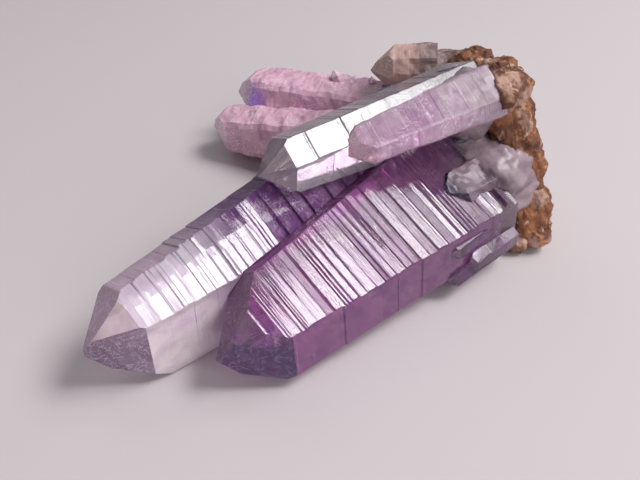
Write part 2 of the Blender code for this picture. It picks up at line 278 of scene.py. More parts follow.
class PointMaker:
    """Makes the mesh of one point, ring by ring, and cuts its tip."""

    def __init__(self, shape: PointShape, grow: float = 0.0) -> None:
        """Draws the lines on the crystal's faces.

        Args:
            shape: The crystal's sizes.
            grow: Extra size all round, in mm, for a crystal that cuts its neighbours.
        """
        self.shape = shape
        self.grow = grow
        self.start = -max(shape.peaks) - PAST_TIP
        self.end = shape.length + grow
        self.lines = [shape.striations.get(face, (SMOOTH,)) for face in Face]
        self.knots = [self.face_knots(face) for face in Face]
        self.starts = [[place for place, _ in knots] for knots in self.knots]

    def face_knots(self, face: Face) -> list[tuple[float, list[float]]]:
        """Draws one face's runs of lines, one after another, from the tip to past the root."""
        chance = random.Random(SEED_STEP * self.shape.seed + face)
        knots = []
        place = self.start
        columns = self.lines[face][0].columns
        for run in self.lines[face]:
            knots += replace(run, columns=columns).strips(place, self.end + PAST_ROOT, chance)
            place = max(place, run.reach)
        return knots

    def rings(self) -> list[float]:
        """The distances from the shoulder at which the mesh has a ring, in mm."""
        places = {self.start, self.end}
        for face in Face:
            places |= {place for place, _ in self.knots[face]}
            for setback in self.shape.ledges.get(face, ()):
                front = self.shape.ledge_front(face, setback)
                places |= {front, front + LEDGE_STEP}
        inside = sorted(place for place in places if self.start <= place <= self.end)
        kept = [inside[0]]
        for place in inside[1:]:
            if place - kept[-1] > RING_SPACING:
                kept.append(place)
        return kept

    def heights(self, face: Face, place: float) -> list[float]:
        """How far each column's edge on one face stands out at one ring, in mm."""
        knots = self.knots[face]
        last = bisect.bisect_right(self.starts[face], place) - 1
        last = min(max(last, 0), len(knots) - 2)
        (before, low), (after, high) = knots[last], knots[last + 1]
        share = min(max((place - before) / (after - before), 0.0), 1.0)
        rise = 0.0
        for setback in self.shape.ledges.get(face, ()):
            front = self.shape.ledge_front(face, setback)
            rise += LEDGE_STEP * min(max((place - front) / LEDGE_STEP, 0.0), 1.0)
        return [a + (b - a) * share + rise for a, b in zip(low, high)]

    def corner(self, face: int, near: float, far: float) -> Vector:
        """Where two neighbouring faces meet, across and above the axis, in mm.

        Args:
            face: The first face; the second is the next one round.
            near: The first face's distance from the axis, in mm.
            far: The second face's distance from the axis, in mm.

        Returns:
            The corner of the ring.
        """
        first, second = self.shape.angle(face), self.shape.angle(face + 1)
        spread = math.sin(second - first)
        across = (far * math.cos(first) - near * math.cos(second)) / spread
        above = (near * math.sin(second) - far * math.sin(first)) / spread
        return Vector((across, above))

    def ring(self, place: float) -> list[Vector]:
        """The points of one ring, in order round the crystal, in the layout, in mm."""
        shape = self.shape
        heights = [self.heights(face, place) for face in Face]
        base = [
            shape.flats[face] + self.grow + shape.narrowing[face] * place for face in Face]
        corners = []
        for face in Face:
            after = (face + 1) % len(Face)
            corners.append(self.corner(
                face, base[face] + heights[face][-1], base[after] + heights[after][0]))
        points = []
        for face in Face:
            angle = shape.angle(face)
            along = Vector((math.cos(angle), -math.sin(angle)))
            outward = Vector((math.sin(angle), math.cos(angle)))
            first = corners[face - 1] + shape.chamfer * along
            last = corners[face] - shape.chamfer * along
            count = self.lines[face][0].columns
            for step in range(count + 1):
                share = step / count
                level = heights[face][0] + (heights[face][-1] - heights[face][0]) * share
                point = first.lerp(last, share) + (heights[face][step] - level) * outward
                points.append(point)
        centre = Vector(shape.shoulder) - place * shape.axis()
        return [centre + point.x * shape.across() + point.y * shape.above() for point in points]

    def body(self) -> bmesh.types.BMesh:
        """Rolls a grid into the striated prism, closes its ends and cuts the tip."""
        shape = self.shape
        rings = [self.ring(place) for place in self.rings()]
        round_count = len(rings[0])
        body = bmesh.new()
        bmesh.ops.create_grid(
            body, x_segments=round_count, y_segments=len(rings) - 1, size=1.0)
        for index, vert in enumerate(body.verts):
            row, column = divmod(index, round_count + 1)
            vert.co = rings[row][column % round_count]
        sides = [face for face in Face for _ in range(self.lines[face][0].columns + 1)]
        for index, strip in enumerate(body.faces):
            strip.material_index = sides[index % round_count]
        bmesh.ops.remove_doubles(body, verts=body.verts[:], dist=WELD)
        rim = [edge for edge in body.edges if edge.is_boundary]
        bmesh.ops.holes_fill(body, edges=rim, sides=0)
        bmesh.ops.recalc_face_normals(body, faces=body.faces[:])
        if shape.wear:
            roughen(body, ((0.35, shape.wear, 3.0), (1.1, 0.4 * shape.wear, 5.0)))
        for face in Face:
            peak = shape.peaks[face] + self.grow / math.cos(POINT_FACE_ANGLE)
            top = Vector(shape.shoulder) + peak * shape.axis()
            cut_away(body, top, shape.tip_slope(face), TIP_OFFSET + face)
        soften_ridges(body, shape.worn_tip)
        return body


def cut_away(body: bmesh.types.BMesh, point: Vector, normal: Vector, surface: int) -> None:
    """Cuts off what lies beyond a plane and closes the cut with one flat face.

    Args:
        body: The solid that is cut.
        point: A point on the plane, in mm.
        normal: The way the plane looks.
        surface: The number of the kind of surface that the new face has.
    """
    everything = body.verts[:] + body.edges[:] + body.faces[:]
    cut = bmesh.ops.bisect_plane(
        body, geom=everything, dist=WELD, plane_co=point, plane_no=normal, clear_outer=True)
    rim = [part for part in cut["geom_cut"] if isinstance(part, bmesh.types.BMEdge)]
    if rim:
        made = bmesh.ops.contextual_create(body, geom=rim)
        for face in made["faces"]:
            face.material_index = surface


def roughen(body: bmesh.types.BMesh, relief: Relief) -> None:
    """Moves each vertex in or out along its normal.

    Args:
        body: The solid that is roughened.
        relief: Fineness per mm, height in mm and seed of each size of roughness.
    """
    body.normal_update()
    moves = []
    for vert in body.verts:
        rise = 0.0
        for fineness, height, seed in relief:
            rise += height * noise.noise(vert.co * fineness + Vector((seed, seed, seed)))
        moves.append(vert.normal * rise)
    for vert, move in zip(body.verts, moves):
        vert.co += move


def soften_ridges(body: bmesh.types.BMesh, width: float) -> None:
    """Gives the ridges between a tip's faces a worn edge, in mm."""
    ridges = [
        edge for edge in body.edges
        if len(edge.link_faces) == 2 and edge.calc_length() > min(6.0 * width, 1.0)
        and all(face.material_index >= TIP_OFFSET for face in edge.link_faces)]
    bmesh.ops.bevel(
        body, geom=ridges, offset=width, affect="EDGES",
        segments=1 if width < FINE_RIDGE else 3, profile=0.5, material=-1, clamp_overlap=True)


@dataclass(frozen=True)
class Lump:
    """A rough rounded body of rock or of quartz that grew without faces.

    Attributes:
        centre: Its middle, in mm.
        half_sizes: Half its sizes along its axis, across it and upwards, in mm.
        azimuth: The way its axis points, in degrees.
        cuts: How finely its mesh is divided.
        squareness: 2 for an ellipsoid, more for a block with round edges.
        relief: Fineness per mm, height in mm and seed of each size of roughness.
        lean: How far its axis points up, in degrees.
        roll: Its turn about the axis, in degrees.
        surface: The number of the kind of surface that it has.
    """

    centre: Place
    half_sizes: Place
    azimuth: float
    cuts: int
    squareness: float
    relief: Relief
    lean: float = 0.0
    roll: float = 0.0
    surface: int = LUMP_SURFACE

    def placing(self) -> Matrix:
        """Turns the lump's own axes, along, across and up, into the layout's."""
        turn = Matrix.Rotation(math.radians(self.azimuth), 4, "Z")
        tilt = Matrix.Rotation(math.radians(-self.lean), 4, "Y")
        roll = Matrix.Rotation(math.radians(self.roll), 4, "X")
        return Matrix.Translation(self.centre) @ turn @ tilt @ roll

    def body(self) -> bmesh.types.BMesh:
        """Shapes a divided block into the lump and roughens it, in the layout, in mm."""
        body = bmesh.new()
        bmesh.ops.create_cube(body, size=2.0)
        bmesh.ops.subdivide_edges(body, edges=body.edges[:], cuts=self.cuts, use_grid_fill=True)
        placing = self.placing()
        for vert in body.verts:
            reach = sum(abs(value) ** self.squareness for value in vert.co)
            reach **= 1.0 / self.squareness
            sized = [a * b / reach for a, b in zip(vert.co, self.half_sizes)]
            vert.co = placing @ Vector(sized)
        roughen(body, self.relief)
        for face in body.faces:
            face.material_index = self.surface
            face.smooth = True
        return body


GREAT_POINT = PointShape(
    shoulder=(-6.6, -25.05, 6.59), azimuth=224.1, lean=-3.9, turn=28.5, length=37.0,
    flats=(5.7, 3.55, 4.6, 6.4, 5.1, 5.7), narrowing=(0.11, 0.01, 0.09, 0.06, 0.03, 0.03),
    peaks=(5.5, 6.0, 5.15, 8.2, 7.0, 6.4),
    ledges={
        Face.TOP: (4.0, 9.5, 16.0, 21.0, 29.0),
        Face.RIGHT: (7.0, 19.0),
        Face.LOWER_LEFT: (11.0, 24.0)},
    striations={
        Face.TOP: (
            Striation(
                narrowest=0.25, widest=1.4, tilt=1.1, relief=0.05, columns=6, riser=0.5,
                odd_share=0.32, odd_tilt=8.0, reach=32.0),
            ROUGH_ROOT),
        Face.RIGHT: (
            Striation(
                narrowest=0.8, widest=5.0, tilt=0.9, relief=0.012, columns=3, riser=0.08,
                reach=32.0),
            ROUGH_ROOT),
        Face.UPPER_LEFT: (Striation(
            narrowest=0.5, widest=2.6, tilt=1.2, relief=0.02, columns=2),)},
    seed=3)

# How far the left point's upper face lies back at its upper edge, column by column.
ROUNDED_EDGE = (0.42, 0.24, 0.08, 0.0, 0.0, 0.0, 0.0)

LEFT_POINT = PointShape(
    shoulder=(-20.85, -26.5, 6.99), azimuth=225.0, lean=-4.4, turn=38.0, length=48.0,
    flats=(5.35, 4.5, 3.0, 7.0, 4.7, 4.9), narrowing=(0.08, 0.02, 0.09, 0.09, 0.03, 0.03),
    peaks=(5.9, 5.3, 3.0, 6.4, 6.0, 6.0),
    ledges={Face.TOP: (5.0, 12.0, 20.0), Face.UPPER_LEFT: (8.0, 22.0)},
    striations={
        Face.TOP: (
            Striation(
                narrowest=0.2, widest=1.1, tilt=1.2, relief=0.05, columns=6, riser=0.35,
                odd_share=0.2, odd_tilt=7.0, reach=19.0,
                drops=ROUNDED_EDGE),
            Striation(
                narrowest=1.6, widest=3.6, tilt=0.4, relief=0.02, columns=6, riser=0.1,
                bias=-9.5, drops=ROUNDED_EDGE)),
        Face.UPPER_LEFT: (Striation(
            narrowest=0.5, widest=2.6, tilt=1.4, relief=0.02, columns=3),),
        Face.RIGHT: (Striation(
            narrowest=0.8, widest=4.0, tilt=0.6, relief=0.01, columns=2),)},
    seed=5)

UPPER_POINT = PointShape(
    shoulder=(-4.3, -9.1, 17.95), azimuth=215.9, lean=-1.2, turn=37.4, length=30.0,
    flats=(3.1, 3.1, 3.2, 3.4, 3.1, 3.7), narrowing=(0.05, 0.04, 0.02, 0.05, 0.03, 0.03),
    peaks=(3.6, 4.3, 4.3, 4.0, 4.0, 4.0),
    ledges={Face.TOP: (3.0, 8.0)},
    striations={
        Face.TOP: (Striation(
            narrowest=0.3, widest=3.2, tilt=0.5, relief=0.012, columns=3, riser=0.1,
            odd_share=0.04, odd_tilt=8.0),),
        Face.UPPER_LEFT: (Striation(
            narrowest=0.4, widest=2.0, tilt=1.6, relief=0.02, columns=2),)},
    chamfer=0.06, seed=7)

ROSY_POINT = PointShape(
    shoulder=(5.4, -7.0, 19.55), azimuth=201.5, lean=-13.0, turn=29.7, length=17.5,
    flats=(2.5, 1.7, 2.3, 2.5, 1.9, 2.3), narrowing=(0.05, 0.02, 0.04, 0.04, 0.03, 0.03),
    peaks=(3.5, 3.0, 2.5, 3.2, 3.2, 3.4),
    striations={
        Face.TOP: (Striation(
            narrowest=0.3, widest=1.2, tilt=1.6, relief=0.02, columns=6),),
        Face.RIGHT: (WORN,)},
    chamfer=0.2, worn_tip=0.35, wear=0.2, seed=11)

DARK_POINT = PointShape(
    shoulder=(18.2, 1.6, 14.8), azimuth=222.0, lean=-7.0, turn=10.0, length=6.0,
    flats=(2.2, 1.5, 2.1, 2.4, 2.4, 2.3), narrowing=(0.04,) * 6,
    peaks=(2.0, 2.4, 2.2, 2.6, 2.6, 2.6),
    striations=ROUGH_ALL_ROUND, wear=0.3, seed=13)

BEAKED_POINT = PointShape(
    shoulder=(16.2, -5.7, 11.5), azimuth=216.0, lean=-6.0, turn=24.0, length=10.0,
    flats=(2.4, 1.7, 2.5, 2.8, 2.6, 2.4), narrowing=(0.04,) * 6,
    peaks=(2.2, 2.4, 2.0, 2.8, 2.8, 2.6),
    striations=ROUGH_ALL_ROUND, wear=0.45, seed=17)

# The upper, the middle and the lower splinter on the great point's flank.
SPLINTERS = (
    PointShape(
        shoulder=(16.6, -12.2, 7.5), azimuth=226.0, lean=-3.0, turn=20.0, length=9.0,
        flats=(1.1, 0.9, 1.0, 1.2, 1.2, 1.1),
        peaks=(1.2, 1.4, 1.3, 1.4, 1.4, 1.4), seed=19),
    PointShape(
        shoulder=(19.4, -10.6, 4.6), azimuth=222.0, lean=-4.0, turn=35.0, length=8.0,
        flats=(1.2, 1.0, 1.1, 1.3, 1.3, 1.2),
        peaks=(1.3, 1.5, 1.4, 1.5, 1.5, 1.5), seed=23),
    PointShape(
        shoulder=(16.6, -12.0, 3.2), azimuth=222.0, lean=-6.0, turn=15.0, length=11.0,
        flats=(1.5, 1.2, 1.2, 1.6, 1.5, 1.5),
        peaks=(1.8, 2.0, 1.9, 2.0, 2.0, 2.0), seed=29))

REAR_POINT = PointShape(
    shoulder=(-10.1, 30.6, 8.4), azimuth=153.0, lean=-2.0, turn=15.0, length=34.5,
    flats=(4.4, 4.2, 4.4, 4.4, 4.2, 4.3),
    peaks=(4.2, 5.6, 4.6, 5.0, 5.0, 4.6),
    ledges={Face.TOP: (6.0, 13.0)},
    striations=WORN_ALL_ROUND,
    chamfer=0.5, worn_tip=0.7, wear=0.5, seed=31)

LOW_POINT = PointShape(
    shoulder=(-13.0, 24.2, 4.38), azimuth=154.0, lean=-7.0, turn=25.0, length=24.0,
    flats=(4.3, 4.1, 3.6, 3.6, 3.9, 4.2),
    peaks=(6.8, 7.4, 5.4, 5.4, 6.5, 7.0),
    ledges={Face.TOP: (6.0, 12.0)},
    striations=WORN_ALL_ROUND,
    chamfer=0.5, worn_tip=0.7, wear=0.45, seed=37)

BROWN_POINT = PointShape(
    shoulder=(10.7, 19.4, 18.0), azimuth=174.0, lean=-3.0, turn=6.0, length=6.8,
    flats=(3.0, 3.0, 2.9, 3.0, 3.0, 3.0), narrowing=(0.02,) * 6,
    peaks=(2.6, 3.6, 3.2, 3.6, 3.8, 3.0),
    striations=WORN_ALL_ROUND, chamfer=0.7, worn_tip=1.0, wear=0.5, seed=41)

BROWN_ROOT = PointShape(
    shoulder=(13.6, 19.1, 17.9), azimuth=174.0, lean=-3.0, turn=24.0, length=9.0,
    flats=(2.7, 2.3, 2.6, 2.8, 2.7, 2.6), narrowing=(-0.01,) * 6,
    peaks=(2.0, 2.4, 2.2, 2.4, 2.4, 2.2),
    striations=WORN_ALL_ROUND, chamfer=0.6, worn_tip=0.5, wear=0.6, seed=43)


def speck(root: Place, azimuth: float, lean: float, width: float,
          length: float) -> PointShape:
    """One tiny quartz point that stands on a larger crystal.

    Args:
        root: Where it stands, in mm.
        azimuth: The way its tip points, in degrees.
        lean: How far its tip points up, in degrees.
        width: Its width, in mm.
        length: The prism's length, in mm.

    Returns:
        The point's sizes.
    """
    tip = PointShape(
        shoulder=(0.0, 0.0, 0.0), azimuth=azimuth, lean=lean, turn=12.0, length=length,
        flats=(0.5 * width,) * 6, narrowing=(0.02,) * 6, peaks=(0.6 * width,) * 6,
        chamfer=0.03, seed=47)
    shoulder = Vector(root) + length * tip.axis()
    return replace(tip, shoulder=tuple(shoulder))


# The small points of the root mass that stand between the long ones.
YOUNG_POINTS = (
    speck(root=(11.0, 9.5, 8.0), azimuth=178, lean=-8, width=2.6, length=4.8),
    speck(root=(11.5, 10.0, 12.5), azimuth=185, lean=12, width=3.2, length=5.5),
    speck(root=(13.5, 10.5, 15.0), azimuth=170, lean=38, width=2.8, length=4.5),
    speck(root=(10.5, 8.0, 15.5), azimuth=200, lean=30, width=2.2, length=4.0))

REAR_SPECKS = (
    speck(root=(3.3, 23.8, 12.6), azimuth=150, lean=65, width=1.7, length=2.2),
    speck(root=(4.9, 22.9, 12.6), azimuth=60, lean=50, width=1.3, length=1.8),
    speck(root=(8.4, 21.2, 12.6), azimuth=110, lean=70, width=1.6, length=2.0),
    speck(root=(10.4, 20.0, 12.2), azimuth=70, lean=55, width=1.3, length=1.8))

# The quartz without faces that the points rise from.
LOWER_ROOT = Lump(
    centre=(21.6, 3.2, 10.2), half_sizes=(5.8, 8.4, 6.3), azimuth=42.0, lean=4.0,
    cuts=30, squareness=2.4, relief=((0.25, 0.9, 5.0), (0.7, 0.45, 17.0), (2.0, 0.18, 3.0)))
UPPER_ROOT = Lump(
    centre=(18.8, 4.2, 19.4), half_sizes=(4.4, 5.4, 4.2), azimuth=34.0, lean=6.0,
    cuts=24, squareness=2.4, relief=((0.3, 0.7, 9.0), (0.8, 0.35, 13.0), (2.0, 0.15, 3.0)))
LEFT_ROOT = Lump(
    centre=(16.6, 8.4, 10.8), half_sizes=(8.2, 6.4, 6.8), azimuth=40.0, lean=5.0,
    cuts=24, squareness=2.4, relief=((0.25, 0.8, 13.0), (0.7, 0.4, 19.0), (2.0, 0.15, 3.0)))
REAR_ROOT = Lump(
    centre=(12.4, 16.6, 8.6), half_sizes=(6.0, 5.6, 6.4), azimuth=-25.0,
    cuts=20, squareness=2.4, relief=((0.25, 0.8, 29.0), (0.7, 0.4, 31.0), (2.0, 0.15, 3.0)))

ROCK = Lump(
    centre=(25.7, 8.9, 10.4), half_sizes=(3.0, 10.8, 13.4), azimuth=12.0, lean=14.0, roll=-13.0,
    cuts=56, squareness=4.5,
    relief=((0.16, 0.9, 7.0), (0.42, 0.8, 11.0), (1.0, 0.4, 23.0), (2.4, 0.22, 3.0),
            (5.0, 0.1, 31.0)))


def nodule(centre: Place, radius: float, seed: float) -> Lump:
    """A small rounded knob on the rock's rim.

    Args:
        centre: Its middle, in mm.
        radius: Its radius, in mm.
        seed: Picks its roughness.

    Returns:
        The knob.
    """
    return Lump(
        centre=centre, half_sizes=(radius, radius * 1.1, radius * 0.9), azimuth=31.0,
        cuts=14, squareness=2.2,
        relief=((0.8, 0.25, seed), (2.0, 0.25, seed), (5.0, 0.08, 7.0)), surface=KNOB_SURFACE)


ROSY_COLLAR = Lump(
    centre=(21.8, -0.7, 23.0), half_sizes=(1.5, 3.1, 2.6), azimuth=21.5, lean=13.0,
    cuts=20, squareness=2.3, relief=((0.4, 0.5, 9.0), (1.0, 0.35, 13.0), (2.5, 0.2, 3.0)),
    surface=KNOB_SURFACE)
NODULES = (
    ROSY_COLLAR,
    nodule(centre=(30.2, -1.8, 2.4), radius=1.9, seed=1.0),
    nodule(centre=(27.2, -2.4, 1.6), radius=1.6, seed=5.0),
    nodule(centre=(29.6, -0.6, 8.0), radius=1.7, seed=9.0),
    nodule(centre=(23.4, 0.6, 23.4), radius=2.6, seed=12.0),
    nodule(centre=(22.8, 6.0, 23.0), radius=1.9, seed=17.0),
    nodule(centre=(21.9, 13.6, 21.4), radius=1.8, seed=21.0))

CLEAR: Colour = (0.94, 0.92, 0.95)


@dataclass(frozen=True)
class QuartzFinish:
    """How one crystal's quartz looks from its tip to its root.

    Attributes:
        name: The material's name.
        prism: Tint of each prism face, in the order of Face: the quartz's colour, with painted
            light and shade that makes some faces lighter or darker.
        tip: Tint of each face of the tip, in the order of Face, also with painted light and shade
            per face.
        lump: Tint of quartz that has no faces.
        root: Tint of the root end.
        cloud: Tint of the denser patches of colour.
        cloud_share: How much the denser patches show, from 0 to 1.
        root_start: Distance from the shoulder at which the root end begins, in mm.
        root_blend: Length over which it sets in, in mm.
        wisp_share: How much the pale wisps inside show, from 0 to 1.
        painted_tip_light: How much painted light pales the tip's faces towards their upper edge,
            where light from above falls, from 0 to 1.
        clarity: The share of light that goes through, from 0 to 1.
        roughness: Roughness of the faces.
        root_haze: Extra roughness of the root end.
        line_height: Height of the finest lines across the prism, from 0 to 1.
        unevenness: Height of the small dents in all faces, beside the lines.
        absorption: Tint that light takes inside.
        density: How strongly it takes it, per metre.
        core: Tint of the core of stronger colour.
        core_place: The core's middle, along, across and above the axis, in mm.
        core_radius: The core's radius, in mm.
    """

    name: str
    prism: tuple[Colour, ...]
    tip: tuple[Colour, ...]
    lump: Colour
    root: Colour
    cloud: Colour
    cloud_share: float
    root_start: float
    root_blend: float
    wisp_share: float
    painted_tip_light: float
    clarity: float
    roughness: float
    root_haze: float
    line_height: float
    unevenness: float
    absorption: Colour
    density: float
    core: Colour = CLEAR
    core_place: Place = (0.0, 0.0, 0.0)
    core_radius: float = 0.01

    def face_tints_and_light(self) -> tuple[Colour, ...]:
        """The tint of each kind of surface, in the order of their numbers, with each face's
        painted light and shade.
        """
        return self.prism + self.tip + (self.lump,)

    def material(self, shape: PointShape) -> bpy.types.Material:
        """Makes the finish for one crystal, whose axis its pattern follows.

        Args:
            shape: The crystal that wears it.

        Returns:
            The material.
        """
        paint = NodeBench(self.name)
        crystal_to_world = Matrix.Scale(MM, 4) @ Matrix.Translation(
            -Vector(FOOTPRINT_CENTRE)) @ shape.placing()
        local = crystal_to_world.inverted()
        mapping = paint.add("ShaderNodeMapping")
        mapping.inputs["Location"].default_value = local.translation
        mapping.inputs["Rotation"].default_value = local.to_euler()
        mapping.inputs["Scale"].default_value = (1.0 / MM,) * 3
        paint.link(paint.add("ShaderNodeTexCoord"), "Object", mapping, "Vector")
        growth = paint.group(quartz_growth())
        settings = {
            "Root": opaque(self.root), "Root Start": self.root_start,
            "Root Blend": self.root_blend, "Root Haze": self.root_haze,
            "Cloud": opaque(self.cloud), "Cloud Share": self.cloud_share,
            "Core": opaque(self.core), "Core Place": self.core_place,
            "Core Radius": self.core_radius, "Painted Tip Light": self.painted_tip_light,
            "Wisp Share": self.wisp_share, "Roughness": self.roughness,
            "Unevenness": self.unevenness}
        for socket, value in settings.items():
            growth.inputs[socket].default_value = value
        paint.link(mapping, "Vector", growth, "Vector")
        paint.link(paint.attribute("tint_and_face_light"), "Color", growth, "Tint")
        paint.link(paint.attribute("tip_mask"), "Fac", growth, "Tip Mask")
        paint.cover(growth, strength=self.line_height, depth=LINE_DEPTH)
        paint.shader.inputs["IOR"].default_value = QUARTZ_IOR
        paint.shader.inputs["Transmission Weight"].default_value = self.clarity
        volume = paint.add("ShaderNodeVolumeAbsorption")
        volume.inputs["Color"].default_value = opaque(self.absorption)
        volume.inputs["Density"].default_value = self.density
        paint.link(volume, "Volume", paint.output, "Volume")
        return paint.material


def opaque(colour: Colour) -> tuple[float, float, float, float]:
    """A colour with full cover, as a colour socket takes it."""
    return (*colour, 1.0)


class NodeBench:
    """A new material and short ways to add and join its nodes."""

    def __init__(self, name: str) -> None:
        """Opens a new material that has one Principled shader."""
        self.material = bpy.data.materials.new(name)
        self.material.use_nodes = True
        self.tree = self.material.node_tree
        self.shader = self.tree.nodes["Principled BSDF"]
        self.output = self.tree.nodes["Material Output"]

    def add(self, kind: str) -> bpy.types.Node:
        """Adds a node of one kind."""
        return self.tree.nodes.new(kind)

    def group(self, tree: bpy.types.NodeTree) -> bpy.types.Node:
        """Adds a node that holds a node group."""
        node = self.add("ShaderNodeGroup")
        node.node_tree = tree
        return node

    def link(self, source: bpy.types.Node, out: str, target: bpy.types.Node, into: str) -> None:
        """Joins one node's output to another node's input, by their names."""
        self.tree.links.new(source.outputs[out], target.inputs[into])

    def attribute(self, name: str) -> bpy.types.Node:
        """Adds a node that reads one attribute of the mesh."""
        node = self.add("ShaderNodeAttribute")
        node.attribute_name = name
        return node

    def cover(self, source: bpy.types.Node, strength: float, depth: float) -> None:
        """Leads a pattern's colour, roughness and height to the shader.

        Args:
            source: The node of the pattern.
            strength: How strongly its height shows, from 0 to 1.
            depth: How deep its height looks, in mm.
        """
        bump = self.add("ShaderNodeBump")
        bump.inputs["Strength"].default_value = strength
        bump.inputs["Distance"].default_value = depth * MM
        self.link(source, "Height", bump, "Height")
        self.link(source, "Color", self.shader, "Base Color")
        self.link(source, "Roughness", self.shader, "Roughness")
        self.link(bump, "Normal", self.shader, "Normal")


class GroupBench:
    """A new node group and short ways to add and join its nodes."""

    def __init__(self, name: str, inputs: dict[str, str], outputs: dict[str, str]) -> None:
        """Opens a group with named sockets.

        Args:
            name: The group's name.
            inputs: Each input's name and kind of socket.
            outputs: Each output's name and kind of socket.
        """
        self.tree = bpy.data.node_groups.new(name, "ShaderNodeTree")
        for label, kind in inputs.items():
            self.tree.interface.new_socket(label, in_out="INPUT", socket_type=kind)
        for label, kind in outputs.items():
            self.tree.interface.new_socket(label, in_out="OUTPUT", socket_type=kind)
        self.start = self.tree.nodes.new("NodeGroupInput")
        self.finish = self.tree.nodes.new("NodeGroupOutput")

    def join(self, source: Socket | float | tuple, target: Socket) -> None:
        """Links an output to an input, or sets the input's value."""
        if isinstance(source, Socket):
            self.tree.links.new(source, target)
        else:
            target.default_value = source

    def math(self, operation: str, *values: Socket | float, clamp: bool = False) -> Socket:
        """Adds one step of arithmetic and gives its result."""
        node = self.tree.nodes.new("ShaderNodeMath")
        node.operation = operation
        node.use_clamp = clamp
        for value, socket in zip(values, node.inputs):
            self.join(value, socket)
        return node.outputs[0]

    def times(self, first: Socket | float, second: Socket | float, clamp: bool = False
              ) -> Socket:
        """Multiplies two values."""
        return self.math("MULTIPLY", first, second, clamp=clamp)

    def plus(self, first: Socket | float, second: Socket | float, clamp: bool = False
             ) -> Socket:
        """Adds two values."""
        return self.math("ADD", first, second, clamp=clamp)

    def minus(self, first: Socket | float, second: Socket | float) -> Socket:
        """Takes one value from another."""
        return self.math("SUBTRACT", first, second)

    def places(self, operation: str, first: Socket, second: Socket | tuple) -> bpy.types.Node:
        """Adds a node that reckons with two places."""
        node = self.tree.nodes.new("ShaderNodeVectorMath")
        node.operation = operation
        self.join(first, node.inputs[0])
        self.join(second, node.inputs[1])
        return node

    def stretch(self, place: Socket, scale: Place) -> Socket:
        """Scales a place along each axis."""
        return self.places("MULTIPLY", place, scale).outputs[0]

    def distance(self, first: Socket, second: Socket) -> Socket:
        """Measures how far apart two places are."""
        return self.places("DISTANCE", first, second).outputs["Value"]

    def noise(self, vector: Socket, scale: float, detail: float = 3.0,
              roughness: float = 0.55, distortion: float = 0.0) -> Socket:
        """Adds a noise pattern and gives its value."""
        node = self.tree.nodes.new("ShaderNodeTexNoise")
        self.join(vector, node.inputs["Vector"])
        node.inputs["Scale"].default_value = scale
        node.inputs["Detail"].default_value = detail
        node.inputs["Roughness"].default_value = roughness
        node.inputs["Distortion"].default_value = distortion
        return node.outputs["Fac"]

    def span(self, value: Socket, low: Socket | float, high: Socket | float) -> Socket:
        """Maps a stretch of values to 0 to 1, with a smooth start and end."""
        node = self.tree.nodes.new("ShaderNodeMapRange")
        node.interpolation_type = "SMOOTHSTEP"
        self.join(value, node.inputs["Value"])
        self.join(low, node.inputs["From Min"])
        self.join(high, node.inputs["From Max"])
        return node.outputs["Result"]

    def mix(self, share: Socket | float, first: Socket | tuple, second: Socket | tuple
            ) -> Socket:
        """Mixes two colours."""
        node = self.tree.nodes.new("ShaderNodeMix")
        node.data_type = "RGBA"
        self.join(share, node.inputs[MIX_SHARE])
        self.join(first, node.inputs[MIX_FIRST])
        self.join(second, node.inputs[MIX_SECOND])
        return node.outputs[MIX_RESULT]


PATTERN_OUTPUTS = {"Color": SOCKET_COLOUR, "Roughness": SOCKET_FLOAT, "Height": SOCKET_FLOAT}
# Painted light: the pale tint laid over the upper part of each tip face, where light from above
# falls.
PAINTED_TIP_LIGHT: Colour = (0.62, 0.48, 0.58)
WISP_TINT: Colour = (0.92, 0.84, 0.9)
BROWN_CRUST: Colour = (0.10, 0.032, 0.014)
ORANGE_CRUST: Colour = (0.36, 0.15, 0.055)
PALE_CRUST: Colour = (0.46, 0.28, 0.22)
BLACK_PIT: Colour = (0.03, 0.012, 0.008)


